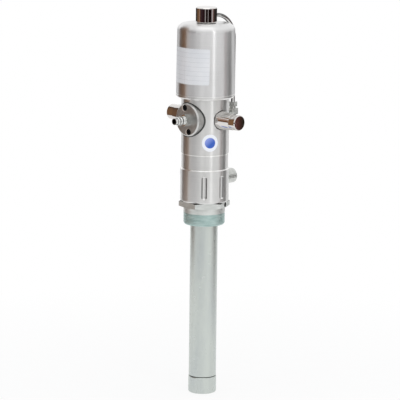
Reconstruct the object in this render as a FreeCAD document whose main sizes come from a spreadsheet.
import FreeCAD, Part
import math
import os
import re
import Sketcher

# An air-operated oil pump for drums, in millimetres.
# The origin is on the pump's centre line, at the shoulder of the bung thread that a drum's
# opening takes. +Z points up to the air motor, and the suction tube hangs down along -Z.
# The air inlet faces -Y, the oil outlet and the transfer pipe +Y, and the valve lies along X.
# Every piston, rod and ball is drawn at the bottom of its travel, and the valve spool at its
# left stop.

Vector = FreeCAD.Vector
Rotation = FreeCAD.Rotation

# Every size that can be set by itself. All are millimetres, apart from angles in degrees
# and counts. A name that ends in outer or bore is a diameter.
SIZES = {
    # Bung adaptor
    "thread_outer": 59.6,
    "thread_length": 17.1,
    "thread_lead_height": 2.0,
    "thread_lead_depth": 1.2,
    "collar_outer": 60.5,
    "collar_height": 8.3,
    "hex_across": 65.0,
    "hex_height": 8.6,
    "hex_turn": 24.5,
    "hex_corner_bevel": 0.7,
    "adaptor_seal_drop": 8.0,
    "adaptor_seal_width": 3.2,
    "adaptor_seal_depth": 2.6,
    "slide_gap": 0.08,
    # Lock screw
    "lock_screw_outer": 6.0,
    "lock_screw_length": 8.6,
    "lock_screw_socket_across": 3.0,
    "lock_screw_socket_depth": 3.2,
    "lock_screw_bevel": 0.6,
    # Suction tube
    "tube_outer": 40.0,
    "tube_wall": 2.5,
    "tube_length": 279.5,
    "tube_bevel": 0.5,
    "tube_socket_depth": 20.0,
    "tube_gasket_thickness": 1.5,
    "tube_gasket_width": 2.2,
    # Foot valve
    "foot_outer": 41.0,
    "foot_height": 24.0,
    "foot_bevel": 1.4,
    "foot_top_bevel": 0.8,
    "foot_seal_thickness": 1.0,
    "foot_seal_recess": 0.6,
    "foot_flats_across": 38.0,
    "foot_flats_height": 12.0,
    "foot_spigot_height": 22.0,
    "foot_inlet_bore": 20.0,
    "foot_inlet_depth": 8.0,
    "foot_seat_bore": 16.0,
    "foot_seat_height": 6.0,
    "foot_chamber_bore": 26.0,
    "foot_ball_outer": 22.0,
    "foot_ball_lift": 6.0,
    "foot_pin_outer": 4.0,
    # Pump body casting
    "lower_outer": 70.7,
    "lower_height": 48.3,
    "lower_bottom_radius": 2.5,
    "band_outer": 67.6,
    "band_height": 21.8,
    "upper_outer": 69.2,
    "upper_height": 82.0,
    "lower_step_bevel": 0.8,
    "upper_step_bevel": 0.4,
    "head_outer": 85.1,
    "head_height": 5.0,
    "head_bevel": 2.0,
    "joint_bevel": 0.4,
    "head_spigot_height": 10.0,
    "oil_chamber_bore": 35.0,
    "oil_chamber_height": 33.0,
    "flute_width": 8.2,
    "flute_depth": 2.6,
    "flute_length": 35.0,
    "flute_drop": 7.4,
    "flute_spacing": 45.0,
    # Rod glands
    "gland_lower_bore": 32.0,
    "gland_upper_bore": 28.0,
    "bush_upper_height": 6.5,
    "bush_lower_height": 18.0,
    "seal_upper_bore": 22.0,
    "seal_upper_height": 4.0,
    "seal_lower_height": 6.0,
    "gland_ring_thickness": 1.4,
    "gland_ring_width": 3.4,
    "gland_ring_groove": 1.2,
    "gland_ring_margin": 1.0,
    # Air cylinder
    "cylinder_top_outer": 82.9,
    "cylinder_height": 101.5,
    "cylinder_bore": 74.0,
    "cylinder_roof": 7.0,
    "cylinder_shoulder_radius": 10.0,
    "cylinder_inner_radius": 3.0,
    "cylinder_seal_height": 3.0,
    "cylinder_seal_depth": 2.6,
    "cylinder_seal_rise": 3.6,
    # Top cap
    "cap_outer": 30.4,
    "cap_height": 22.0,
    "cap_bevel": 1.2,
    "cap_bottom_bevel": 0.8,
    "cap_spigot_outer": 22.0,
    "cap_port_bore": 8.0,
    "cap_port_height": 14.0,
    "cap_pipe_height": 9.3,
    "cap_pipe_depth": 7.0,
    "cap_seal_outer": 28.0,
    "cap_seal_thickness": 1.0,
    # Transfer pipe and its fittings
    "pipe_outer": 6.0,
    "pipe_wall": 1.0,
    "pipe_stand": 13.4,
    "pipe_bend_radius": 37.0,
    "pipe_foot_rise": 2.5,
    "nut_across": 11.6,
    "nut_height": 6.8,
    "nut_thread_outer": 8.6,
    "nut_thread_height": 3.2,
    "nut_gap": 2.5,
    "ferrule_height": 2.0,
    "elbow_width": 12.0,
    "elbow_edge_bevel": 1.0,
    "elbow_bottom": 1.0,
    "elbow_top": 8.2,
    "elbow_leg_outer": 10.0,
    "elbow_corner_radius": 5.6,
    "elbow_collar_length": 5.0,
    "elbow_thread_outer": 9.7,
    "elbow_thread_length": 9.0,
    "elbow_bore": 4.4,
    "elbow_spotface_outer": 15.0,
    "elbow_spotface_depth": 0.95,
    # Air inlet
    "valve_drop": 30.5,
    "flange_outer": 47.6,
    "flange_stand": 2.7,
    "flange_bevel": 1.8,
    "flange_spigot_outer": 24.0,
    "flange_spigot_sink": 11.25,
    "gasket_outer": 50.4,
    "gasket_thickness": 0.6,
    "flange_screw_circle": 35.2,
    "flange_screw_turn": 13.7,
    "flange_screw_outer": 5.0,
    "flange_screw_head_outer": 9.0,
    "flange_screw_length": 15.0,
    "flange_screw_socket_across": 4.0,
    "flange_screw_socket_depth": 2.0,
    "inlet_port_bore": 8.0,
    "barb_thread_outer": 13.0,
    "barb_thread_length": 10.0,
    "barb_hex_across": 15.0,
    "barb_hex_length": 6.0,
    "barb_bore": 7.0,
    "barb_ridge_outer": 12.4,
    "barb_neck_outer": 10.2,
    "barb_tip_outer": 9.2,
    "barb_ridge_pitch": 5.2,
    "barb_land_width": 0.6,
    "barb_tip_length": 3.4,
    # Valve
    "valve_bore": 18.0,
    "housing_outer": 27.4,
    "housing_end_outer": 23.0,
    "housing_length": 24.6,
    "housing_thread_outer": 24.0,
    "housing_thread_length": 4.0,
    "housing_seal_outer": 27.0,
    "housing_seal_thickness": 1.2,
    "housing_spotface_outer": 29.0,
    "housing_spotface_depth": 2.85,
    "valve_cap_outer": 22.4,
    "valve_cap_length": 12.3,
    "valve_cap_bevel": 1.1,
    "valve_cap_floor": 3.5,
    "valve_cap_register_outer": 20.6,
    "valve_cap_register_length": 3.6,
    "spool_stroke": 8.0,
    "spool_stop_length": 7.0,
    "spool_stop_vent": 4.0,
    "spool_waist_outer": 11.0,
    "spool_hub_outer": 16.6,
    "spool_hub_half": 12.0,
    "spool_window_gap": 0.4,
    "spool_land_width": 4.0,
    "spool_end_land_width": 6.0,
    "spool_seal_width": 2.2,
    "spool_seal_depth": 1.6,
    "service_port_bore": 4.0,
    "service_port_reach": 17.0,
    "service_port_offset": 6.0,
    "gallery_bore": 3.6,
    "gallery_turn": 40.0,
    # Oil outlet
    "outlet_rise": 29.9,
    "outlet_head_length": 22.6,
    "outlet_outer": 21.6,
    "outlet_bevel": 1.2,
    "outlet_thread_outer": 16.6,
    "outlet_tapping_bore": 15.0,
    "outlet_tapping_depth": 12.0,
    "outlet_bore": 11.0,
    "outlet_shank_margin": 2.5,
    "outlet_seal_thickness": 1.5,
    "outlet_spotface_outer": 23.6,
    "outlet_spotface_depth": 2.25,
    # Piston and rods
    "rod_outer": 12.0,
    "rod_thread_outer": 10.0,
    "rod_hole_gap": 0.5,
    "piston_height": 14.0,
    "piston_gap": 0.3,
    "piston_recess_bore": 26.0,
    "piston_web": 5.0,
    "piston_seal_height": 3.2,
    "piston_seal_depth": 3.6,
    "piston_seal_margin": 2.0,
    "piston_nut_across": 16.0,
    "piston_nut_height": 6.0,
    "rod_end_drop": 0.5,
    "bumper_outer": 58.0,
    "bumper_inner": 46.0,
    "bumper_height": 4.0,
    "bumper_proud": 2.0,
    "coupling_outer": 18.0,
    "coupling_length": 40.0,
    "coupling_grip": 15.0,
    "coupling_drop": 68.5,
    "coupling_bevel": 1.0,
    "pump_rod_outer": 14.0,
    "pump_piston_height": 40.0,
    "pump_piston_rise": 3.0,
    "pump_piston_head_height": 14.0,
    "pump_piston_skirt_outer": 26.0,
    "pump_piston_seal_height": 3.2,
    "pump_piston_seal_depth": 2.6,
    "pump_piston_seal_rise": 5.0,
    "pump_piston_seat_bore": 11.0,
    "pump_piston_seat_height": 4.0,
    "pump_piston_chamber_bore": 19.0,
    "pump_piston_port_bore": 6.4,
    "pump_piston_port_rise": 18.6,
    "piston_ball_outer": 16.0,
    "piston_ball_lift": 4.0,
    # Clearances, all radial, that every fit of the same kind shares
    "running_gap": 0.05,
    "thread_gap": 0.05,
    "seat_gap": 0.3,
}

# Places worked out from the sizes above, each an expression. Levels are heights above the
# origin, and a rise is a height above a piece's own underside.
PLACES = {
    "adaptor_bore": "tube_outer + 2 * slide_gap",
    "lock_level": "collar_height + hex_height / 2",
    "body_bottom": "collar_height + hex_height",
    "band_bottom": "body_bottom + lower_height",
    "band_top": "band_bottom + band_height",
    "rim_bottom": "band_top + upper_height",
    "cylinder_bottom": "rim_bottom + head_height",
    "head_top": "cylinder_bottom + head_spigot_height",
    "cylinder_top": "cylinder_bottom + cylinder_height",
    "cylinder_ceiling": "cylinder_top - cylinder_roof",
    "cap_bottom": "cylinder_top + cap_seal_thickness",
    "pipe_level": "cap_bottom + cap_pipe_height",
    "valve_level": "rim_bottom - valve_drop",
    "outlet_level": "body_bottom + outlet_rise",
    "socket_top": "body_bottom + tube_socket_depth",
    "chamber_top": "socket_top + oil_chamber_height",
    "tube_bore": "tube_outer - 2 * tube_wall",
    "tube_top": "socket_top - tube_gasket_thickness",
    "tube_bottom": "tube_top - tube_length",
    "foot_top": "tube_bottom - foot_seal_thickness",
    "foot_bottom": "foot_top - foot_height",
    "foot_spigot_outer": "tube_bore - 2 * thread_gap",
    "foot_throat_rise": "foot_inlet_depth + foot_seat_height",
    "foot_ball_rise":
        "foot_throat_rise - foot_seat_bore / 2 + sqrt(2) * (foot_ball_outer / 2 + seat_gap)",
    "foot_ball_stop": "foot_ball_rise + foot_ball_outer / 2 + foot_ball_lift + seat_gap",
    "foot_pin_rise": "foot_ball_stop + foot_pin_outer / 2",
    "lower_ring_bottom": "chamber_top + gland_ring_margin",
    "lower_bush_bottom": "lower_ring_bottom + gland_ring_thickness",
    "lower_seal_bottom": "lower_bush_bottom + bush_lower_height",
    "lower_gland_top": "lower_seal_bottom + seal_lower_height",
    "upper_ring_bottom": "head_top - gland_ring_margin - gland_ring_thickness",
    "upper_bush_bottom": "upper_ring_bottom - bush_upper_height",
    "upper_seal_bottom": "upper_bush_bottom - seal_upper_height",
    "rod_running_bore": "rod_outer + 2 * running_gap",
    "rod_hole_bore": "rod_outer + 2 * rod_hole_gap",
    "piston_bottom": "head_top + bumper_proud",
    "piston_top": "piston_bottom + piston_height",
    "bumper_sink": "bumper_height - bumper_proud",
    "coupling_top": "chamber_top - coupling_drop",
    "coupling_bottom": "coupling_top - coupling_length",
    "pump_piston_bottom": "foot_top + foot_spigot_height + pump_piston_rise",
    "piston_ball_rise":
        "pump_piston_seat_height - pump_piston_seat_bore / 2"
        " + sqrt(2) * (piston_ball_outer / 2 + seat_gap)",
    "piston_ball_stop": "piston_ball_rise + piston_ball_outer / 2 + piston_ball_lift + seat_gap",
    "saddle_radius": "upper_outer / 2 + gasket_thickness",
    "flange_reach": "upper_outer / 2 + flange_stand",
    "flange_spigot_reach": "upper_outer / 2 - flange_spigot_sink",
    "housing_spotface_reach": "upper_outer / 2 - housing_spotface_depth",
    "housing_face_reach": "housing_spotface_reach + housing_seal_thickness",
    "housing_end_reach": "housing_face_reach + housing_length",
    "housing_thread_reach": "housing_spotface_reach - housing_thread_length",
    "valve_reach": "housing_end_reach + valve_cap_length",
    "valve_floor_reach": "valve_reach - valve_cap_floor",
    "spool_stop_reach": "valve_floor_reach - spool_stop_length",
    "spool_half": "spool_stop_reach - spool_stroke / 2",
    "spool_land_start": "service_port_reach - spool_land_width / 2",
    "spool_land_end": "service_port_reach + spool_land_width / 2",
    "exhaust_port_reach": "spool_land_end + spool_stroke / 2 + service_port_bore / 2",
    "pipe_reach": "head_outer / 2 + pipe_stand",
    "elbow_spotface_reach": "upper_outer / 2 - elbow_spotface_depth",
    "elbow_port_reach": "elbow_spotface_reach - elbow_thread_length",
    "nut_bottom_rise": "elbow_top + nut_gap",
    "nut_cavity_height": "nut_thread_height + ferrule_height",
    "outlet_shank_reach": "oil_chamber_bore / 2 + outlet_shank_margin",
    "outlet_spotface_reach": "lower_outer / 2 - outlet_spotface_depth",
    "outlet_face_reach": "outlet_spotface_reach + outlet_seal_thickness",
    "outlet_reach": "outlet_face_reach + outlet_head_length",
    "flute_ball": "(flute_depth * flute_depth + flute_width * flute_width / 4) / (2 * flute_depth)",
    "flute_reach": "lower_outer / 2 + flute_ball - flute_depth",
    "flute_top_level": "band_bottom - flute_drop - flute_width / 2",
    "flute_straight": "flute_length - flute_width",
}

doc = FreeCAD.newDocument("OilPump")


def write_sheet():
    """Put every size in the spreadsheet, one named cell each."""
    sheet = doc.addObject("Spreadsheet::Sheet", "Sizes")
    for row, (alias, number) in enumerate(SIZES.items(), start=1):
        sheet.set(f"A{row}", alias)
        sheet.set(f"B{row}", str(number))
        sheet.setAlias(f"B{row}", alias)
    doc.recompute()


def spelled(text):
    """Write an expression out in the spreadsheet's names."""
    def spell(match):
        word = match.group(0)
        if word in SIZES:
            return "Sizes." + word
        if word in PLACES:
            return "(" + spelled(PLACES[word]) + ")"
        return word
    return re.sub(r"[a-z][a-z_]*", spell, text)


def number(owner, text):
    """The present value of an expression."""
    return float(owner.evalExpression(spelled(text)))


def bind(target, **properties):
    """Tie properties to expressions; a double underscore in a name stands for a dot."""
    for name, text in properties.items():
        target.setExpression(name.replace("__", "."), spelled(text))


def new_body(label, level="0", turn=None, along=None):
    """An empty body at a level, turned about the pump's axis or moved along X or Y."""
    body = doc.addObject("PartDesign::Body", label)
    body.Label = label
    bind(body, Placement__Base__z=level)
    if turn:
        bind(body, Placement__Rotation__Angle=turn)
    for direction, distance in (along or {}).items():
        bind(body, **{"Placement__Base__" + direction: distance})
    return body


def new_sketch(body, name, plane, offset="0"):
    """An empty sketch on one of the body's own planes, moved along that plane's normal."""
    support = next(item for item in body.Origin.OriginFeatures if item.Role == plane + "_Plane")
    sketch = body.newObject("Sketcher::SketchObject", name)
    sketch.AttachmentSupport = [(support, "")]
    sketch.MapMode = "FlatFace"
    bind(sketch, AttachmentOffset__Base__z=offset)
    return sketch


def hold_point(sketch, geometry, corner, across, up):
    """Hold one point of a sketch at its two distances from the origin."""
    for kind, text in (("DistanceX", across), ("DistanceY", up)):
        rule = Sketcher.Constraint(kind, -1, 1, geometry, corner, number(sketch, text))
        index = sketch.addConstraint(rule)
        sketch.setExpression(f"Constraints[{index}]", spelled(text))


def add_outline(sketch, corners):
    """Draw a closed outline of straight lines through corners given as expressions."""
    first = sketch.GeometryCount
    spots = [Vector(number(sketch, across), number(sketch, up), 0) for across, up in corners]
    lines = [Part.LineSegment(a, b) for a, b in zip(spots, spots[1:] + spots[:1])]
    sketch.addGeometry(lines, False)
    count = len(corners)
    sketch.addConstraint([
        Sketcher.Constraint("Coincident", first + i, 2, first + (i + 1) % count, 1)
        for i in range(count)
    ])
    for i, (across, up) in enumerate(corners):
        hold_point(sketch, first + i, 1, across, up)


def add_circle(sketch, diameter, across="0", up="0"):
    """Draw a circle about a held centre."""
    centre = Vector(number(sketch, across), number(sketch, up), 0)
    circle = Part.Circle(centre, Vector(0, 0, 1), number(sketch, diameter) / 2)
    index = sketch.addGeometry(circle, False)
    hold_point(sketch, index, 3, across, up)
    rule = sketch.addConstraint(Sketcher.Constraint("Diameter", index, circle.Radius * 2))
    sketch.setExpression(f"Constraints[{rule}]", spelled(diameter))


def hexagon(across_flats):
    """Corners of a hexagon with a flat towards the first direction."""
    reach = f"({across_flats}) / (2 * cos(30))"
    return [(f"{reach} * cos({60 * i + 30})", f"{reach} * sin({60 * i + 30})") for i in range(6)]


# The plane to draw a turned profile on, and the sketch axis to turn it about.
TURNING = {"z": ("XZ", "V_Axis"), "x": ("XZ", "H_Axis"), "y": ("YZ", "H_Axis")}


def turn_profile(body, name, profile, axis="z", kind="Revolution"):
    """Revolve a profile about an axis of the body, or cut it away with kind Groove."""
    plane, line = TURNING[axis]
    sketch = new_sketch(body, name + "_profile", plane)
    add_outline(sketch, profile)
    feature = body.newObject("PartDesign::" + kind, name)
    feature.Profile = sketch
    feature.ReferenceAxis = (sketch, [line])
    feature.Angle = 360
    return feature


def turned(label, profile, level="0", axis="z", **place):
    """A piece turned in one operation from its profile."""
    body = new_body(label, level, **place)
    turn_profile(body, label + "_turning", profile, axis)
    return body


def ring(label, outer, inner, height, level, axis="z", near="0"):
    """A plain ring: a seal, a bush, a gasket or a washer, with diameters outer and inner."""
    inside, outside = f"({inner}) / 2", f"({outer}) / 2"
    far = f"{near} + {height}"
    if axis == "z":
        profile = [(inside, near), (outside, near), (outside, far), (inside, far)]
    else:
        profile = [(near, inside), (near, outside), (far, outside), (far, inside)]
    return turned(label, profile, level, axis)


# Rotations that stand an upright drill along each direction.
DRILLING = {
    "+x": Rotation(Vector(0, 1, 0), 90),
    "-x": Rotation(Vector(0, 1, 0), -90),
    "+y": Rotation(Vector(1, 0, 0), -90),
    "-y": Rotation(Vector(1, 0, 0), 90),
    "+z": Rotation(),
    "-z": Rotation(Vector(1, 0, 0), 180),
}


def drill(body, name, diameter, depth, direction, start):
    """Drill a round hole from a start point, given as three expressions, along a direction."""
    hole = body.newObject("PartDesign::SubtractiveCylinder", name)
    hole.Placement = FreeCAD.Placement(Vector(), DRILLING[direction])
    bind(hole, Radius=f"({diameter}) / 2", Height=depth)
    across, along, up = start
    bind(hole, Placement__Base__x=across, Placement__Base__y=along, Placement__Base__z=up)
    return hole


def pad(body, name, sketch, length, reverse=False):
    """Raise a sketch into a solid."""
    feature = body.newObject("PartDesign::Pad", name)
    feature.Profile = sketch
    feature.Reversed = reverse
    bind(feature, Length=length)
    return feature


def pocket(body, name, sketch, length, reverse=False):
    """Sink a sketch into the solid."""
    feature = body.newObject("PartDesign::Pocket", name)
    feature.Profile = sketch
    feature.Reversed = reverse
    bind(feature, Length=length)
    return feature


def circular_edges(body, axis, diameter, place):
    """Names of the body's circular edges of a diameter, at a place along x, y or z."""
    doc.recompute()
    radius, offset = number(body, diameter) / 2, number(body, place)
    shape = body.Tip.Shape
    names = []
    for index, edge in enumerate(shape.Edges, start=1):
        if not isinstance(edge.Curve, Part.Circle):
            continue
        centre = edge.Curve.Center
        same_size = math.isclose(edge.Curve.Radius, radius, abs_tol=1e-4)
        if same_size and math.isclose(getattr(centre, axis), offset, abs_tol=1e-4):
            names.append(f"Edge{index}")
    return names


def soften(body, name, kind, size, edges):
    """Round or bevel edges of the body's last feature."""
    before = body.Tip
    feature = body.newObject("PartDesign::" + kind, name)
    feature.Base = (before, edges)
    bind(feature, **{"Radius" if kind == "Fillet" else "Size": size})
    return feature


def group(label, members):
    """One node made of like solids."""
    compound = doc.addObject("Part::Compound", label)
    compound.Label = label
    compound.Links = members
    return compound


def make_bung_adaptor():
    """The bung adaptor: a pipe thread, a collar and a hexagon, bored to slide on the tube."""
    body = new_body("bung_adaptor", turn="hex_turn")
    bore = "adaptor_bore / 2"
    groove = f"{bore} + adaptor_seal_depth"
    groove_bottom = "-adaptor_seal_drop - adaptor_seal_width"
    turn_profile(body, "adaptor_turning", [
        (bore, "-thread_length"),
        ("thread_outer / 2 - thread_lead_depth", "-thread_length"),
        ("thread_outer / 2", "thread_lead_height - thread_length"),
        ("thread_outer / 2", "0"),
        ("collar_outer / 2", "0"),
        ("collar_outer / 2", "collar_height"),
        (bore, "collar_height"),
        (bore, "-adaptor_seal_drop"),
        (groove, "-adaptor_seal_drop"),
        (groove, groove_bottom),
        (bore, groove_bottom),
    ])
    sketch = new_sketch(body, "adaptor_hexagon", "XY", "collar_height")
    add_outline(sketch, hexagon("hex_across"))
    add_circle(sketch, "adaptor_bore")
    pad(body, "adaptor_hexagon_pad", sketch, "hex_height")
    flat, corner = "hex_across / 2", "hex_across / (2 * cos(30)) + hex_corner_bevel"
    for name, level, step in (("top", "body_bottom", "-"), ("bottom", "collar_height", "+")):
        turn_profile(body, f"hexagon_{name}_bevel", [
            (flat, level),
            (corner, level),
            (corner, f"{level} {step} 2 * hex_corner_bevel"),
        ], kind="Groove")
    drill(body, "lock_screw_hole", "lock_screw_outer + 2 * running_gap",
          "hex_across / 2 - adaptor_bore / 4", "-x", ("hex_across / 2 + hex_corner_bevel", "0", "lock_level"))
    return body


def make_lock_screw():
    """The set screw that clamps the adaptor to the tube, with a hexagon socket."""
    body = new_body("lock_screw", "lock_level", turn="hex_turn")
    near = "tube_outer / 2 + seat_gap"
    far = f"{near} + lock_screw_length"
    rim = "lock_screw_outer / 2 - lock_screw_bevel"
    turn_profile(body, "lock_screw_turning", [
        (near, "0"),
        (near, rim),
        (f"{near} + lock_screw_bevel", "lock_screw_outer / 2"),
        (f"{far} - lock_screw_bevel", "lock_screw_outer / 2"),
        (far, rim),
        (far, "0"),
    ], axis="x")
    sketch = new_sketch(body, "lock_screw_socket", "YZ", far)
    add_outline(sketch, hexagon("lock_screw_socket_across"))
    pocket(body, "lock_screw_socket_pocket", sketch, "lock_screw_socket_depth")
    return body


def make_suction_tube():
    """The plain steel tube that reaches down into the drum."""
    inner, outer = "tube_bore / 2", "tube_outer / 2"
    return turned("suction_tube", [
        (inner, "0"),
        (f"{outer} - tube_bevel", "0"),
        (outer, "tube_bevel"),
        (outer, "tube_length"),
        (inner, "tube_length"),
    ], "tube_bottom")


def make_foot_valve():
    """The foot valve body: an inlet, a seat for the ball, and a spigot that fills the tube."""
    body = new_body("foot_valve", "foot_bottom")
    outer, spigot = "foot_outer / 2", "foot_spigot_outer / 2"
    seat, chamber = "foot_seat_bore / 2", "foot_chamber_bore / 2"
    spigot_top = "foot_height + foot_spigot_height"
    turn_profile(body, "foot_turning", [
        ("foot_inlet_bore / 2", "0"),
        (f"{outer} - foot_bevel", "0"),
        (outer, "foot_bevel"),
        (outer, "foot_height - foot_top_bevel"),
        (f"{outer} - foot_top_bevel", "foot_height"),
        (spigot, "foot_height"),
        (spigot, spigot_top),
        (chamber, spigot_top),
        (chamber, f"foot_throat_rise + {chamber} - {seat}"),
        (seat, "foot_throat_rise"),
        (seat, "foot_inlet_depth"),
        ("foot_inlet_bore / 2", "foot_inlet_depth"),
    ])
    sketch = new_sketch(body, "foot_flats", "XY")
    for side in ("", "-"):
        near, far = f"{side}foot_flats_across / 2", f"{side}foot_outer"
        left, right = "-foot_outer", "foot_outer"
        add_outline(sketch, [(left, near), (right, near), (right, far), (left, far)])
    pocket(body, "foot_flats_pocket", sketch, "foot_flats_height", reverse=True)
    drill(body, "foot_pin_hole", "foot_pin_outer + 2 * thread_gap", "tube_outer", "+x",
          ("-tube_outer / 2", "0", "foot_pin_rise"))
    return body


def make_ball(label, diameter, level):
    """A steel valve ball, a seat gap above its cone."""
    ball = doc.addObject("Part::Sphere", label)
    ball.Label = label
    bind(ball, Radius=f"{diameter} / 2", Placement__Base__z=level)
    return ball


def make_foot_pin():
    """The cross pin that stops the foot valve's ball."""
    half = "(foot_spigot_outer / 2 - thread_gap)"
    return turned("foot_stop_pin", [
        (f"-{half}", "0"),
        (f"-{half}", "foot_pin_outer / 2"),
        (half, "foot_pin_outer / 2"),
        (half, "0"),
    ], "foot_bottom + foot_pin_rise", axis="x")


def body_profile():
    """Half section of the body casting, up the outside and down through its bores."""
    head, upper, lower = "head_outer / 2", "upper_outer / 2", "lower_outer / 2"
    spigot = "cylinder_bore / 2 - thread_gap"
    seal_floor = f"{spigot} - cylinder_seal_depth"
    seal_bottom = "cylinder_bottom + cylinder_seal_rise"
    seal_top = f"{seal_bottom} + cylinder_seal_height"
    outside = [
        ("tube_outer / 2 + thread_gap", "body_bottom"),
        (lower, "body_bottom"),
        (lower, "band_bottom - lower_step_bevel"),
        (f"{lower} - lower_step_bevel", "band_bottom"),
        ("band_outer / 2", "band_bottom"),
        ("band_outer / 2", "band_top"),
        (f"{upper} - upper_step_bevel", "band_top"),
        (upper, "band_top + upper_step_bevel"),
        (upper, "rim_bottom"),
        (f"{head} - head_bevel", "rim_bottom"),
        (head, "rim_bottom + head_bevel"),
        (head, "cylinder_bottom - joint_bevel"),
        (f"{head} - joint_bevel", "cylinder_bottom"),
        (spigot, "cylinder_bottom"),
        (spigot, seal_bottom),
        (seal_floor, seal_bottom),
        (seal_floor, seal_top),
        (spigot, seal_top),
        (spigot, "head_top"),
    ]
    bumper_outer, bumper_inner = "bumper_outer / 2 + seat_gap", "bumper_inner / 2 - seat_gap"
    bumper_floor = "head_top - bumper_sink"
    upper_bore = "gland_upper_bore / 2"
    upper_groove = f"{upper_bore} + gland_ring_groove"
    upper_ring_top = "upper_ring_bottom + gland_ring_thickness"
    top_gland = [
        (bumper_outer, "head_top"),
        (bumper_outer, bumper_floor),
        (bumper_inner, bumper_floor),
        (bumper_inner, "head_top"),
        (upper_bore, "head_top"),
        (upper_bore, upper_ring_top),
        (upper_groove, upper_ring_top),
        (upper_groove, "upper_ring_bottom"),
        (upper_bore, "upper_ring_bottom"),
        (upper_bore, "upper_bush_bottom"),
        ("seal_upper_bore / 2", "upper_bush_bottom"),
        ("seal_upper_bore / 2", "upper_seal_bottom"),
        ("rod_hole_bore / 2", "upper_seal_bottom"),
    ]
    lower_bore = "gland_lower_bore / 2"
    lower_groove = f"{lower_bore} + gland_ring_groove"
    bottom_gland = [
        ("rod_hole_bore / 2", "lower_gland_top"),
        (lower_bore, "lower_gland_top"),
        (lower_bore, "lower_bush_bottom"),
        (lower_groove, "lower_bush_bottom"),
        (lower_groove, "lower_ring_bottom"),
        (lower_bore, "lower_ring_bottom"),
        (lower_bore, "chamber_top"),
        ("oil_chamber_bore / 2", "chamber_top"),
        ("oil_chamber_bore / 2", "socket_top"),
        ("tube_outer / 2 + thread_gap", "socket_top"),
    ]
    return outside + top_gland + bottom_gland


def screw_spot(end):
    """Where a flange screw lies, across X and up Z from the inlet's axis; end is + or -."""
    reach = "flange_screw_circle / 2"
    other = "-" if end == "+" else "+"
    return f"0 {other} {reach} * sin(flange_screw_turn)", f"0 {end} {reach} * cos(flange_screw_turn)"


def cut_flutes(body):
    """Cut ball-ended flutes in two runs, left out where the name was and at the outlet."""
    for side, middle in (("front", "0"), ("back", "180")):
        for place, step in (("first", "-flute_spacing"), ("middle", "0"), ("last", "flute_spacing")):
            turn = f"{middle} + {step}"
            name = f"flute_{side}_{place}"
            across, along = f"flute_reach * cos({turn})", f"flute_reach * sin({turn})"
            bottom = "flute_top_level - flute_straight"
            drill(body, name, "2 * flute_ball", "flute_straight", "+z", (across, along, bottom))
            for end, level in (("top", "flute_top_level"), ("bottom", bottom)):
                ball = body.newObject("PartDesign::SubtractiveSphere", f"{name}_{end}")
                bind(ball, Radius="flute_ball", Placement__Base__x=across,
                     Placement__Base__y=along, Placement__Base__z=level)


def cut_valve_bores(body):
    """Bore the casting along X for the spool, and drill its air passages."""
    clear = "upper_outer / 2 + 2"
    drill(body, "valve_bore", "valve_bore", f"2 * ({clear})", "+x", (f"-({clear})", "0", "valve_level"))
    for name, side, inward in (("right", "", "-x"), ("left", "-", "+x")):
        start = (f"{side}({clear})", "0", "valve_level")
        drill(body, f"housing_spotface_{name}", "housing_spotface_outer",
              f"{clear} - housing_spotface_reach", inward, start)
        drill(body, f"housing_thread_{name}", "housing_thread_outer + 2 * thread_gap",
              f"{clear} - housing_thread_reach", inward, start)
        drill(body, f"exhaust_port_{name}", "service_port_bore", clear, "+y",
              (f"{side}exhaust_port_reach", "0", "valve_level"))
    drill(body, "lower_service_port", "service_port_bore", "head_top - valve_level", "+z",
          ("-service_port_reach", "service_port_offset", "valve_level"))
    gallery = drill(body, "upper_service_gallery", "gallery_bore", "elbow_port_reach / sin(gallery_turn)",
                    "+x", ("0", "elbow_port_reach", "valve_level"))
    aim = Rotation(Vector(0, 0, 1), -number(body, "gallery_turn")) * DRILLING["+x"]
    gallery.Placement = FreeCAD.Placement(gallery.Placement.Base, aim)


def cut_side_ports(body):
    """Open the casting for the inlet flange in front, and the elbow and oil outlet behind."""
    clear = "upper_outer / 2 + 2"
    front = ("0", f"-({clear})", "valve_level")
    drill(body, "inlet_pocket", "flange_spigot_outer + 2 * thread_gap",
          f"{clear} - flange_spigot_reach", "+y", front)
    drill(body, "inlet_port", "inlet_port_bore", clear, "+y", front)
    for end in ("+", "-"):
        across, up = screw_spot(end)
        name = "upper" if end == "+" else "lower"
        drill(body, f"flange_screw_hole_{name}", "flange_screw_outer + 2 * thread_gap",
              f"{clear} - flange_reach + flange_screw_length + 1", "+y",
              (across, f"-({clear})", f"valve_level + ({up})"))
    back = ("0", clear, "valve_level")
    drill(body, "elbow_spotface", "elbow_spotface_outer", f"{clear} - elbow_spotface_reach", "-y", back)
    drill(body, "elbow_port", "elbow_thread_outer + 2 * thread_gap",
          f"{clear} - elbow_port_reach", "-y", back)
    low_clear = "lower_outer / 2 + 2"
    low = ("0", low_clear, "outlet_level")
    drill(body, "outlet_spotface", "outlet_spotface_outer",
          f"{low_clear} - outlet_spotface_reach", "-y", low)
    drill(body, "outlet_port", "outlet_thread_outer + 2 * thread_gap", low_clear, "-y", low)


def make_pump_body():
    """The body casting, which carries the cylinder, the valve, the ports and the tube."""
    body = new_body("pump_body")
    turn_profile(body, "body_turning", body_profile())
    edges = circular_edges(body, "z", "lower_outer", "body_bottom")
    soften(body, "body_bottom_round", "Fillet", "lower_bottom_radius", edges)
    cut_valve_bores(body)
    cut_side_ports(body)
    cut_flutes(body)
    return body


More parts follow.
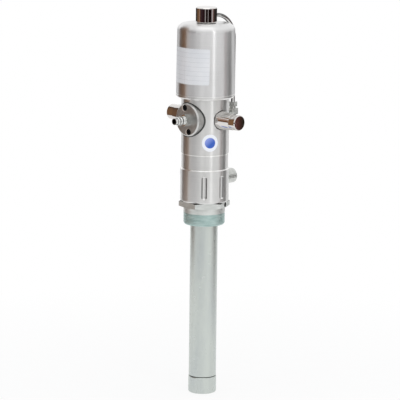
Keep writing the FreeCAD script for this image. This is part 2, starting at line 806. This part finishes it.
def make_gland(place, bore, ring_bottom, bush_bottom, bush_height, seal_bottom, seal_height, seal_bore):
    """A rod gland: the bush that guides the rod, its seal and the retaining ring."""
    ring(f"gland_ring_{place}", f"{bore} + 2 * (gland_ring_groove - thread_gap)",
         f"{bore} - 2 * (gland_ring_width - gland_ring_groove)", "gland_ring_thickness", ring_bottom)
    ring(f"rod_bush_{place}", f"{bore} - 2 * thread_gap", "rod_running_bore", bush_height, bush_bottom)
    ring(f"rod_seal_{place}", f"{seal_bore} - 2 * thread_gap", "rod_running_bore", seal_height, seal_bottom)


def make_glands():
    """The two glands that the piston rod passes through."""
    make_gland("upper", "gland_upper_bore", "upper_ring_bottom", "upper_bush_bottom", "bush_upper_height",
               "upper_seal_bottom", "seal_upper_height", "seal_upper_bore")
    make_gland("lower", "gland_lower_bore", "lower_ring_bottom", "lower_bush_bottom", "bush_lower_height",
               "lower_seal_bottom", "seal_lower_height", "gland_lower_bore")


def make_air_cylinder():
    """The air cylinder: a deep cup with a drafted wall, a round shoulder and a flat crown."""
    body = new_body("air_cylinder", "cylinder_bottom")
    bore, foot = "cylinder_bore / 2", "head_outer / 2"
    ceiling = "cylinder_height - cylinder_roof"
    bumper_outer, bumper_inner = "bumper_outer / 2 + seat_gap", "bumper_inner / 2 - seat_gap"
    neck = "cap_spigot_outer / 2 + thread_gap"
    turn_profile(body, "cylinder_turning", [
        (bore, "0"),
        (f"{foot} - joint_bevel", "0"),
        (foot, "joint_bevel"),
        ("cylinder_top_outer / 2", "cylinder_height"),
        (neck, "cylinder_height"),
        (neck, ceiling),
        (bumper_inner, ceiling),
        (bumper_inner, f"{ceiling} + bumper_sink"),
        (bumper_outer, f"{ceiling} + bumper_sink"),
        (bumper_outer, ceiling),
        (bore, ceiling),
    ])
    crown = circular_edges(body, "z", "cylinder_top_outer", "cylinder_height")
    soften(body, "cylinder_shoulder", "Fillet", "cylinder_shoulder_radius", crown)
    corner = circular_edges(body, "z", "cylinder_bore", ceiling)
    soften(body, "cylinder_inner_corner", "Fillet", "cylinder_inner_radius", corner)
    return body


def make_top_cap():
    """The chromed head cap, which passes air from the transfer pipe to the cylinder."""
    outer, port = "cap_outer / 2", "cap_port_bore / 2"
    spigot_bottom = "-cap_seal_thickness - cylinder_roof"
    body = turned("top_cap", [
        (port, spigot_bottom),
        ("cap_spigot_outer / 2", spigot_bottom),
        ("cap_spigot_outer / 2", "0"),
        (f"{outer} - cap_bottom_bevel", "0"),
        (outer, "cap_bottom_bevel"),
        (outer, "cap_height - cap_bevel"),
        (f"{outer} - cap_bevel", "cap_height"),
        ("0", "cap_height"),
        ("0", "cap_port_height"),
        (port, "cap_port_height"),
    ], "cap_bottom")
    drill(body, "pipe_socket", "pipe_outer + 2 * thread_gap", "cap_pipe_depth + 1", "-y",
          ("0", f"{outer} + 1", "cap_pipe_height"))
    drill(body, "pipe_passage", "pipe_outer - 2 * pipe_wall", outer, "+y", ("0", "0", "cap_pipe_height"))
    return body


def make_transfer_pipe():
    """The pipe from the top cap: level out of the cap, one bend, and straight down."""
    start = "cap_outer / 2 - cap_pipe_depth"
    body = new_body("transfer_pipe", "pipe_level", along={"y": start})
    path = new_sketch(body, "pipe_path", "YZ")
    straight = f"pipe_reach - pipe_bend_radius - ({start})"
    far = f"{straight} + pipe_bend_radius"
    foot = "valve_level + pipe_foot_rise - pipe_level"
    run, reach = number(path, straight), number(path, far)
    radius, drop = number(path, "pipe_bend_radius"), number(path, foot)
    centre = Vector(run, -radius, 0)
    bend = Part.ArcOfCircle(Part.Circle(centre, Vector(0, 0, 1), radius), 0, math.pi / 2)
    path.addGeometry([
        Part.LineSegment(Vector(0, 0, 0), Vector(run, 0, 0)),
        bend,
        Part.LineSegment(Vector(reach, -radius, 0), Vector(reach, drop, 0)),
    ], False)
    path.addConstraint([
        Sketcher.Constraint("Coincident", 0, 1, -1, 1),
        Sketcher.Constraint("Coincident", 0, 2, 1, 2),
        Sketcher.Constraint("Coincident", 1, 1, 2, 1),
    ])
    hold_point(path, 0, 2, straight, "0")
    hold_point(path, 1, 3, straight, "-pipe_bend_radius")
    level = path.addConstraint(Sketcher.Constraint("DistanceY", -1, 1, 1, 1, -radius))
    path.setExpression(f"Constraints[{level}]", spelled("-pipe_bend_radius"))
    hold_point(path, 2, 2, far, foot)
    section = new_sketch(body, "pipe_section", "XZ")
    add_circle(section, "pipe_outer")
    add_circle(section, "pipe_outer - 2 * pipe_wall")
    pipe = body.newObject("PartDesign::AdditivePipe", "pipe_sweep")
    pipe.Profile = section
    pipe.Spine = (path, ["Edge1", "Edge2", "Edge3"])
    return body


def make_pipe_nut():
    """The compression nut on the pipe's lower end, and its ferrule."""
    body = new_body("pipe_nut", "valve_level + nut_bottom_rise", along={"y": "pipe_reach"})
    sketch = new_sketch(body, "nut_hexagon", "XY")
    add_outline(sketch, hexagon("nut_across"))
    pad(body, "nut_pad", sketch, "nut_height")
    drill(body, "nut_thread", "nut_thread_outer + 2 * thread_gap", "nut_cavity_height", "+z", ("0", "0", "0"))
    drill(body, "nut_pipe_hole", "pipe_outer + 2 * thread_gap", "nut_height", "+z", ("0", "0", "0"))
    seat_level = "valve_level + nut_bottom_rise + nut_thread_height"
    ferrule = new_body("pipe_ferrule", seat_level, along={"y": "pipe_reach"})
    turn_profile(ferrule, "ferrule_turning", [
        ("pipe_outer / 2 + thread_gap", "0"),
        ("nut_thread_outer / 2 - ferrule_height / 4", "0"),
        ("nut_thread_outer / 2", "ferrule_height / 2"),
        ("nut_thread_outer / 2 - ferrule_height / 4", "ferrule_height"),
        ("pipe_outer / 2 + thread_gap", "ferrule_height"),
    ])


def make_elbow():
    """The elbow that turns the pipe's air into the casting."""
    body = new_body("elbow_fitting", "valve_level", along={"y": "pipe_reach"})
    sketch = new_sketch(body, "elbow_block", "XY", "-elbow_bottom")
    half, cut = "elbow_width / 2", "(elbow_width / 2 - elbow_edge_bevel)"
    add_outline(sketch, [
        (half, f"-{cut}"),
        (half, cut),
        (cut, half),
        (f"-{cut}", half),
        (f"-{half}", cut),
        (f"-{half}", f"-{cut}"),
        (f"-{cut}", f"-{half}"),
        (cut, f"-{half}"),
    ])
    pad(body, "elbow_block_pad", sketch, "elbow_top + elbow_bottom")
    corner = body.newObject("PartDesign::AdditiveSphere", "elbow_corner")
    bind(corner, Radius="elbow_corner_radius")
    face = "elbow_spotface_reach - pipe_reach"
    turn_profile(body, "elbow_leg", [
        ("elbow_port_reach - pipe_reach", "0"),
        ("elbow_port_reach - pipe_reach", "elbow_thread_outer / 2"),
        (face, "elbow_thread_outer / 2"),
        (face, "elbow_leg_outer / 2"),
        ("0", "elbow_leg_outer / 2"),
        ("0", "0"),
    ], axis="y")
    collar = new_sketch(body, "elbow_collar", "XZ", f"-({face} + elbow_collar_length)")
    add_outline(collar, hexagon("elbow_width"))
    pad(body, "elbow_collar_pad", collar, "elbow_collar_length")
    turn_profile(body, "elbow_stub", [
        ("0", "elbow_top"),
        ("nut_thread_outer / 2", "elbow_top"),
        ("nut_thread_outer / 2", "nut_bottom_rise + nut_thread_height"),
        ("0", "nut_bottom_rise + nut_thread_height"),
    ])
    top = "nut_bottom_rise + nut_thread_height"
    drill(body, "elbow_pipe_socket", "pipe_outer + 2 * thread_gap",
          f"{top} - pipe_foot_rise", "-z", ("0", "0", top))
    drill(body, "elbow_down_bore", "elbow_bore", top, "-z", ("0", "0", top))
    drill(body, "elbow_cross_bore", "elbow_bore", "pipe_reach", "-y", ("0", "0", "0"))
    return body


def make_inlet_flange():
    """The round inlet flange, hollowed to sit on the casting like a saddle."""
    body = new_body("inlet_flange", "valve_level")
    sketch = new_sketch(body, "flange_disc", "XZ", "flange_spigot_reach")
    add_circle(sketch, "flange_outer")
    pad(body, "flange_disc_pad", sketch, "flange_reach - flange_spigot_reach")
    drill(body, "flange_saddle", "2 * saddle_radius", "2 * flange_outer", "+z", ("0", "0", "-flange_outer"))
    spigot = new_sketch(body, "flange_spigot", "XZ", "flange_spigot_reach")
    add_circle(spigot, "flange_spigot_outer")
    pad(body, "flange_spigot_pad", spigot, "flange_reach - flange_spigot_reach - flange_bevel / 2")
    rim = circular_edges(body, "y", "flange_outer", "-flange_reach")
    soften(body, "flange_rim_bevel", "Chamfer", "flange_bevel", rim)
    face = ("0", "-flange_reach", "0")
    drill(body, "flange_thread", "barb_thread_outer + 2 * thread_gap", "barb_thread_length", "+y", face)
    drill(body, "flange_bore", "barb_bore", "flange_reach", "+y", face)
    head_height = "(flange_screw_head_outer - flange_screw_outer) / 2"
    for end in ("+", "-"):
        across, up = screw_spot(end)
        spot = (across, "-flange_reach", up)
        name = "upper" if end == "+" else "lower"
        drill(body, f"screw_clearance_{name}", "flange_screw_outer + 2 * thread_gap",
              "flange_reach", "+y", spot)
        sink = body.newObject("PartDesign::SubtractiveCone", f"screw_countersink_{name}")
        sink.Placement = FreeCAD.Placement(Vector(), DRILLING["+y"])
        bind(sink, Radius1="flange_screw_head_outer / 2 + thread_gap",
             Radius2="flange_screw_outer / 2 + thread_gap", Height=head_height,
             Placement__Base__x=across, Placement__Base__y="-flange_reach", Placement__Base__z=up)
    return body


def make_flange_screw(name, end):
    """One countersunk screw of the inlet flange, with a hexagon socket."""
    across, up = screw_spot(end)
    body = new_body(name, f"valve_level + ({up})", along={"x": across})
    head_height = "(flange_screw_head_outer - flange_screw_outer) / 2"
    turn_profile(body, name + "_turning", [
        ("-flange_reach", "0"),
        ("-flange_reach", "flange_screw_head_outer / 2"),
        (f"{head_height} - flange_reach", "flange_screw_outer / 2"),
        ("flange_screw_length - flange_reach", "flange_screw_outer / 2"),
        ("flange_screw_length - flange_reach", "0"),
    ], axis="y")
    sketch = new_sketch(body, name + "_socket", "XZ", "flange_reach")
    add_outline(sketch, hexagon("flange_screw_socket_across"))
    pocket(body, name + "_socket_pocket", sketch, "flange_screw_socket_depth")
    return body


def make_inlet_gasket():
    """The thin saddle gasket between flange and casting, cut from a curved sheet."""
    def upright(name, radius):
        column = doc.addObject("Part::Cylinder", name)
        bind(column, Radius=radius, Height="2 * gasket_outer",
             Placement__Base__z="valve_level - gasket_outer")
        return column

    def level(name, radius, across="0", up="0"):
        column = doc.addObject("Part::Cylinder", name)
        column.Placement = FreeCAD.Placement(Vector(), DRILLING["-y"])
        bind(column, Radius=radius, Height="2 * upper_outer", Placement__Base__x=across,
             Placement__Base__z=f"valve_level + ({up})")
        return column

    sheet = doc.addObject("Part::Cut", "gasket_sheet")
    sheet.Base = upright("gasket_outside", "saddle_radius - thread_gap / 2")
    sheet.Tool = upright("gasket_inside", "upper_outer / 2 + thread_gap / 2")
    round_sheet = doc.addObject("Part::Common", "gasket_round")
    round_sheet.Base = sheet
    round_sheet.Tool = level("gasket_edge", "gasket_outer / 2")
    holes = doc.addObject("Part::MultiFuse", "gasket_holes")
    holes.Shapes = [level("gasket_port", "flange_spigot_outer / 2 + thread_gap")] + [
        level(f"gasket_hole_{name}", "flange_screw_outer / 2 + thread_gap", *screw_spot(end))
        for name, end in (("upper", "+"), ("lower", "-"))
    ]
    gasket = doc.addObject("Part::Cut", "inlet_gasket")
    gasket.Label = "inlet_gasket"
    gasket.Base = round_sheet
    gasket.Tool = holes
    return gasket


def make_hose_barb():
    """The air hose barb: a threaded shank, a hexagon and three ridges with narrow lands."""
    body = new_body("hose_barb", "valve_level")
    bore, neck, ridge = "barb_bore / 2", "barb_neck_outer / 2", "barb_ridge_outer / 2"
    shoulder = "-flange_reach - barb_hex_length"
    profile = [
        ("barb_thread_length - flange_reach", bore),
        ("barb_thread_length - flange_reach", "barb_thread_outer / 2"),
        ("-flange_reach", "barb_thread_outer / 2"),
        ("-flange_reach", ridge),
        (shoulder, ridge),
    ]
    for i in range(3):
        start = f"{shoulder} - {i} * barb_ridge_pitch"
        profile += [
            (f"{start} - barb_ridge_pitch / 4", neck),
            (f"{start} - barb_ridge_pitch / 3", ridge),
            (f"{start} - barb_ridge_pitch / 3 - barb_land_width", ridge),
            (f"{start} - barb_ridge_pitch", neck),
        ]
    tip = f"{shoulder} - 3 * barb_ridge_pitch - barb_tip_length"
    profile += [(tip, "barb_tip_outer / 2"), (tip, bore)]
    turn_profile(body, "barb_turning", profile, axis="y")
    sketch = new_sketch(body, "barb_hexagon", "XZ", "flange_reach")
    add_outline(sketch, hexagon("barb_hex_across"))
    add_circle(sketch, "barb_bore")
    pad(body, "barb_hexagon_pad", sketch, "barb_hex_length")
    return body


def make_valve_end(name, side):
    """One end of the valve: a seal, a tapered housing, an end cap and a spool stop."""
    def along(*places):
        return [(f"{side}({reach})", radius) for reach, radius in places]

    bore = "valve_bore / 2"
    ring(f"valve_seal_{name}", "housing_seal_outer", "housing_thread_outer + 2 * thread_gap",
         f"{side}housing_seal_thickness", "valve_level", "x", f"{side}housing_spotface_reach")
    register = "valve_cap_register_outer / 2"
    register_floor = "housing_end_reach - valve_cap_register_length"
    turned(f"valve_housing_{name}", along(
        ("housing_thread_reach", bore),
        ("housing_thread_reach", "housing_thread_outer / 2"),
        ("housing_face_reach", "housing_thread_outer / 2"),
        ("housing_face_reach", "housing_outer / 2"),
        ("housing_end_reach", "housing_end_outer / 2"),
        ("housing_end_reach", f"{register} + thread_gap"),
        (register_floor, f"{register} + thread_gap"),
        (register_floor, bore),
    ), "valve_level", axis="x")
    turned(f"valve_cap_{name}", along(
        (register_floor, bore),
        (register_floor, register),
        ("housing_end_reach", register),
        ("housing_end_reach", "valve_cap_outer / 2"),
        ("valve_reach - valve_cap_bevel", "valve_cap_outer / 2"),
        ("valve_reach", "valve_cap_outer / 2 - valve_cap_bevel"),
        ("valve_reach", "0"),
        ("valve_floor_reach", "0"),
        ("valve_floor_reach", bore),
    ), "valve_level", axis="x")
    ring(f"spool_stop_{name}", "valve_bore - 2 * thread_gap", "spool_stop_vent",
         f"{side}spool_stop_length", "valve_level", "x", f"{side}spool_stop_reach")


def spool_lands():
    """Middle of each sealed land along the spool, from its centre."""
    return ["service_port_reach", "spool_half - spool_end_land_width / 2"]


def spool_side():
    """Outline of one half of the spool, from its hub to its end, as (reach, radius)."""
    waist, land = "spool_waist_outer / 2", "valve_bore / 2 - running_gap"
    floor = f"{land} - spool_seal_depth"
    points = [("spool_hub_half", "spool_hub_outer / 2"), ("spool_hub_half", waist)]
    spans = [
        ("spool_land_start", "spool_land_end"),
        ("spool_half - spool_end_land_width", "spool_half"),
    ]
    for middle, (start, end) in zip(spool_lands(), spans):
        near, far = f"{middle} - spool_seal_width / 2", f"{middle} + spool_seal_width / 2"
        points += [(start, waist), (start, land), (near, land), (near, floor),
                   (far, floor), (far, land), (end, land)]
        if end != "spool_half":
            points.append((end, waist))
    return points


def make_spool():
    """The valve spool, with a window at its middle that the piston rod passes through."""
    body = new_body("valve_spool", "valve_level", along={"x": "-spool_stroke / 2"})
    right = spool_side()
    left = [(f"-({reach})", radius) for reach, radius in reversed(right)]
    turn_profile(body, "spool_turning", left + right + [("spool_half", "0"), ("-spool_half", "0")], axis="x")
    half_width = "rod_outer / 2 + spool_window_gap"
    window = body.newObject("PartDesign::SubtractiveBox", "spool_window")
    bind(window, Length="spool_stroke", Width=f"2 * ({half_width})", Height="valve_bore",
         Placement__Base__x="-spool_stroke / 2", Placement__Base__y=f"-({half_width})",
         Placement__Base__z="-valve_bore / 2")
    for name, side in (("right", ""), ("left", "-")):
        drill(body, f"spool_window_{name}", f"2 * ({half_width})", "valve_bore", "+z",
              (f"{side}spool_stroke / 2", "0", "-valve_bore / 2"))
    seals = []
    for side, sign in (("right", ""), ("left", "-")):
        for place, middle in zip(("inner", "outer"), spool_lands()):
            near = f"{sign}({middle}) - spool_seal_width / 2 - spool_stroke / 2"
            floor = "valve_bore - 2 * (running_gap + spool_seal_depth - thread_gap)"
            seals.append(ring(f"spool_seal_{place}_{side}", "valve_bore - 2 * running_gap", floor,
                              "spool_seal_width", "valve_level", "x", near))
    group("spool_seals", seals)


def make_outlet():
    """The oil outlet fitting with its sealing washer."""
    bore, tapping, outer = "outlet_bore / 2", "outlet_tapping_bore / 2", "outlet_outer / 2"
    tapping_floor = "outlet_reach - outlet_tapping_depth"
    turned("outlet_fitting", [
        ("outlet_shank_reach", bore),
        ("outlet_shank_reach", "outlet_thread_outer / 2"),
        ("outlet_face_reach", "outlet_thread_outer / 2"),
        ("outlet_face_reach", outer),
        ("outlet_reach - outlet_bevel", outer),
        ("outlet_reach", f"{outer} - outlet_bevel"),
        ("outlet_reach", tapping),
        (tapping_floor, tapping),
        (tapping_floor, bore),
    ], "outlet_level", axis="y")
    ring("outlet_seal", "outlet_outer - outlet_bevel", "outlet_thread_outer + 2 * thread_gap",
         "outlet_seal_thickness", "outlet_level", "y", "outlet_spotface_reach")


def make_air_piston():
    """The air piston with its pair of seals, its nut and the rod it drives."""
    thread, outer = "rod_thread_outer / 2 + thread_gap", "cylinder_bore / 2 - piston_gap"
    floor = "cylinder_bore / 2 - piston_seal_depth"
    seal_starts = ["piston_seal_margin", "piston_height - piston_seal_margin - piston_seal_height"]
    profile = [(thread, "0"), (outer, "0")]
    for start in seal_starts:
        end = f"{start} + piston_seal_height"
        profile += [(outer, start), (floor, start), (floor, end), (outer, end)]
    profile += [
        (outer, "piston_height"),
        ("piston_recess_bore / 2", "piston_height"),
        ("piston_recess_bore / 2", "piston_web"),
        (thread, "piston_web"),
    ]
    turned("air_piston", profile, "piston_bottom")
    group("air_piston_seals", [
        ring(f"air_piston_seal_{place}", "cylinder_bore - 2 * running_gap",
             "cylinder_bore - 2 * (piston_seal_depth - thread_gap)", "piston_seal_height",
             f"piston_bottom + {start}")
        for place, start in zip(("lower", "upper"), seal_starts)
    ])
    nut = new_body("piston_nut", "piston_bottom + piston_web")
    sketch = new_sketch(nut, "piston_nut_hexagon", "XY")
    add_outline(sketch, hexagon("piston_nut_across"))
    add_circle(sketch, "rod_thread_outer + 2 * thread_gap")
    pad(nut, "piston_nut_pad", sketch, "piston_nut_height")


def make_rods():
    """The piston rod, the coupling below it and the long pump rod."""
    rod_bottom = "(coupling_top - coupling_grip)"
    turned("piston_rod", [
        ("0", "0"),
        ("rod_outer / 2", "0"),
        ("rod_outer / 2", f"piston_bottom - {rod_bottom}"),
        ("rod_thread_outer / 2", f"piston_bottom - {rod_bottom}"),
        ("rod_thread_outer / 2", f"piston_top - rod_end_drop - {rod_bottom}"),
        ("0", f"piston_top - rod_end_drop - {rod_bottom}"),
    ], rod_bottom)
    outer = "coupling_outer / 2"
    upper, lower = "rod_outer / 2 + thread_gap", "pump_rod_outer / 2 + thread_gap"
    turned("rod_coupling", [
        (lower, "0"),
        (f"{outer} - coupling_bevel", "0"),
        (outer, "coupling_bevel"),
        (outer, "coupling_length - coupling_bevel"),
        (f"{outer} - coupling_bevel", "coupling_length"),
        (upper, "coupling_length"),
        (upper, "coupling_length - coupling_grip"),
        ("0", "coupling_length - coupling_grip"),
        ("0", "coupling_grip"),
        (lower, "coupling_grip"),
    ], "coupling_bottom")
    plug_top = "pump_piston_height - piston_ball_stop"
    shaft_top = "coupling_bottom + coupling_grip - pump_piston_bottom - piston_ball_stop"
    turned("pump_rod", [
        ("0", "0"),
        ("pump_piston_chamber_bore / 2 - thread_gap", "0"),
        ("pump_piston_chamber_bore / 2 - thread_gap", plug_top),
        ("pump_rod_outer / 2", plug_top),
        ("pump_rod_outer / 2", shaft_top),
        ("0", shaft_top),
    ], "pump_piston_bottom + piston_ball_stop")


def make_pump_piston():
    """The pump piston: a sealed head with a ball seat, and a skirt with oil ports."""
    outer, skirt = "tube_bore / 2 - piston_gap", "pump_piston_skirt_outer / 2"
    floor = "tube_bore / 2 - pump_piston_seal_depth"
    seal_top = "pump_piston_seal_rise + pump_piston_seal_height"
    seat, chamber = "pump_piston_seat_bore / 2", "pump_piston_chamber_bore / 2"
    body = turned("pump_piston", [
        (seat, "0"),
        (outer, "0"),
        (outer, "pump_piston_seal_rise"),
        (floor, "pump_piston_seal_rise"),
        (floor, seal_top),
        (outer, seal_top),
        (outer, "pump_piston_head_height"),
        (skirt, "pump_piston_head_height"),
        (skirt, "pump_piston_height"),
        (chamber, "pump_piston_height"),
        (chamber, f"pump_piston_seat_height + {chamber} - {seat}"),
        (seat, "pump_piston_seat_height"),
    ], "pump_piston_bottom")
    reach = "pump_piston_skirt_outer / 2 + 1"
    for direction in ("x", "y"):
        start = [f"-({reach})", "0"] if direction == "x" else ["0", f"-({reach})"]
        drill(body, f"oil_port_{direction}", "pump_piston_port_bore", f"2 * ({reach})", "+" + direction,
              (*start, "pump_piston_port_rise"))
    ring("pump_piston_seal", "tube_bore - 2 * running_gap",
         "tube_bore - 2 * (pump_piston_seal_depth - thread_gap)", "pump_piston_seal_height",
         "pump_piston_bottom + pump_piston_seal_rise")


def make_seals_and_bumpers():
    """The remaining rings: gaskets, static seals and the two rubber bumpers."""
    ring("adaptor_seal", "adaptor_bore + 2 * (adaptor_seal_depth - thread_gap)",
         "tube_outer + 2 * running_gap", "adaptor_seal_width", "-adaptor_seal_drop - adaptor_seal_width")
    ring("tube_gasket", "tube_outer", "tube_outer - 2 * tube_gasket_width",
         "tube_gasket_thickness", "tube_top")
    ring("foot_seal", "tube_outer - 2 * foot_seal_recess", "tube_bore",
         "foot_seal_thickness", "foot_top")
    ring("cylinder_seal", "cylinder_bore - 2 * thread_gap",
         "cylinder_bore - 2 * cylinder_seal_depth", "cylinder_seal_height",
         "cylinder_bottom + cylinder_seal_rise")
    ring("top_cap_seal", "cap_seal_outer", "cap_spigot_outer + 2 * thread_gap",
         "cap_seal_thickness", "cylinder_top")
    ring("bumper_lower", "bumper_outer", "bumper_inner", "bumper_height", "head_top - bumper_sink")
    ring("bumper_upper", "bumper_outer", "bumper_inner", "bumper_height", "cylinder_ceiling - bumper_proud")


def make_pump():
    """Make every piece, from the bung adaptor up to the cap and down to the foot."""
    make_bung_adaptor()
    make_lock_screw()
    make_suction_tube()
    make_foot_valve()
    make_foot_pin()
    make_ball("foot_ball", "foot_ball_outer", "foot_bottom + foot_ball_rise")
    make_ball("piston_ball", "piston_ball_outer", "pump_piston_bottom + piston_ball_rise")
    make_pump_body()
    make_glands()
    make_air_cylinder()
    make_top_cap()
    make_transfer_pipe()
    make_pipe_nut()
    make_elbow()
    make_inlet_flange()
    make_inlet_gasket()
    upper_screw = make_flange_screw("flange_screw_upper", "+")
    lower_screw = make_flange_screw("flange_screw_lower", "-")
    group("flange_screws", [upper_screw, lower_screw])
    make_hose_barb()
    make_valve_end("right", "")
    make_valve_end("left", "-")
    make_spool()
    make_outlet()
    make_air_piston()
    make_rods()
    make_pump_piston()
    make_seals_and_bumpers()


# One file for each node.
NODES = [
    "bung_adaptor", "adaptor_seal", "lock_screw",
    "pump_body", "suction_tube", "tube_gasket",
    "foot_valve", "foot_seal", "foot_stop_pin", "foot_ball",
    "air_cylinder", "cylinder_seal", "top_cap", "top_cap_seal", "bumper_upper", "bumper_lower",
    "transfer_pipe", "pipe_nut", "pipe_ferrule", "elbow_fitting",
    "inlet_flange", "inlet_gasket", "flange_screws", "hose_barb",
    "valve_housing_right", "valve_housing_left", "valve_cap_right", "valve_cap_left",
    "valve_seal_right", "valve_seal_left", "spool_stop_right", "spool_stop_left",
    "valve_spool", "spool_seals",
    "outlet_fitting", "outlet_seal",
    "rod_bush_upper", "rod_seal_upper", "gland_ring_upper",
    "rod_bush_lower", "rod_seal_lower", "gland_ring_lower",
    "air_piston", "air_piston_seals", "piston_nut", "piston_rod",
    "rod_coupling", "pump_rod", "pump_piston", "pump_piston_seal", "piston_ball",
]


def check_model():
    """Stop if anything in the document failed or any node has no sound shape."""
    failed = [item.Name for item in doc.Objects if {"Invalid", "Error"} & set(item.State)]
    if failed:
        raise RuntimeError(f"failed objects: {failed}")
    for label in NODES:
        shape = doc.getObject(label).Shape
        if shape.isNull() or not shape.isValid() or not shape.Solids:
            raise RuntimeError(f"no sound shape: {label}")


write_sheet()
make_pump()
doc.recompute()
check_model()
os.makedirs("parts", exist_ok=True)
for node in NODES:
    doc.getObject(node).Shape.exportStep(f"parts/{node}.step")
print(len(NODES), "nodes written")
